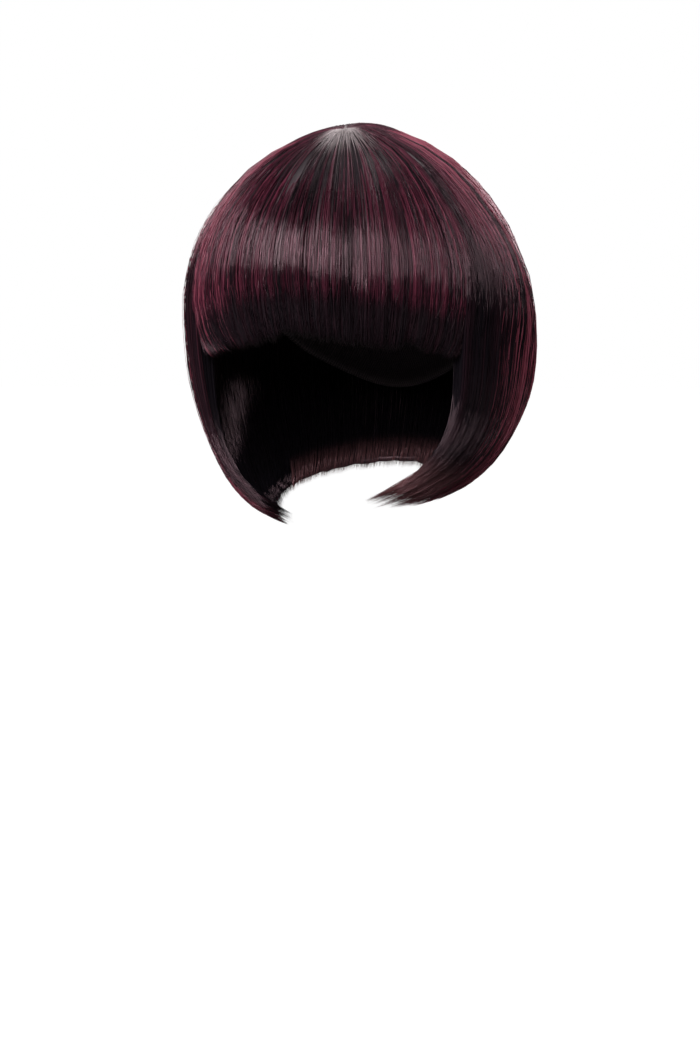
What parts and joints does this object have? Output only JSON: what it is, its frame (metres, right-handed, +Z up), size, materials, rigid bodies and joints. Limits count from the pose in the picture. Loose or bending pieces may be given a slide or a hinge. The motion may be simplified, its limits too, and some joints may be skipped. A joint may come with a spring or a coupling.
{
  "type": "full cap wig",
  "caption": "Short rounded bob wig with a full blunt fringe and sides that sweep forward to points, in fused locks of hair over a hollow stretch cap that sits on the head.",
  "frame": {"origin": "inside of the cap's top, where the wig sits on the crown of the head", "axes": "+Z up, the face looks along -Y, the wearer's left is +X"},
  "size_m": [0.22, 0.2216, 0.2442],
  "materials": {
    "hair": "glossy burgundy and black-plum synthetic hair",
    "hair_roots": "pale greyed roots at the parting whorl",
    "cap_net": "matte dark stretch net"
  },
  "bodies": {
    "root": {"cap": "cap_net", "crown_whorl": "hair_roots", "fringe": "hair", "side_hair_left": "hair", "side_hair_right": "hair", "back_hair": "hair"}
  },
  "joints": []
}
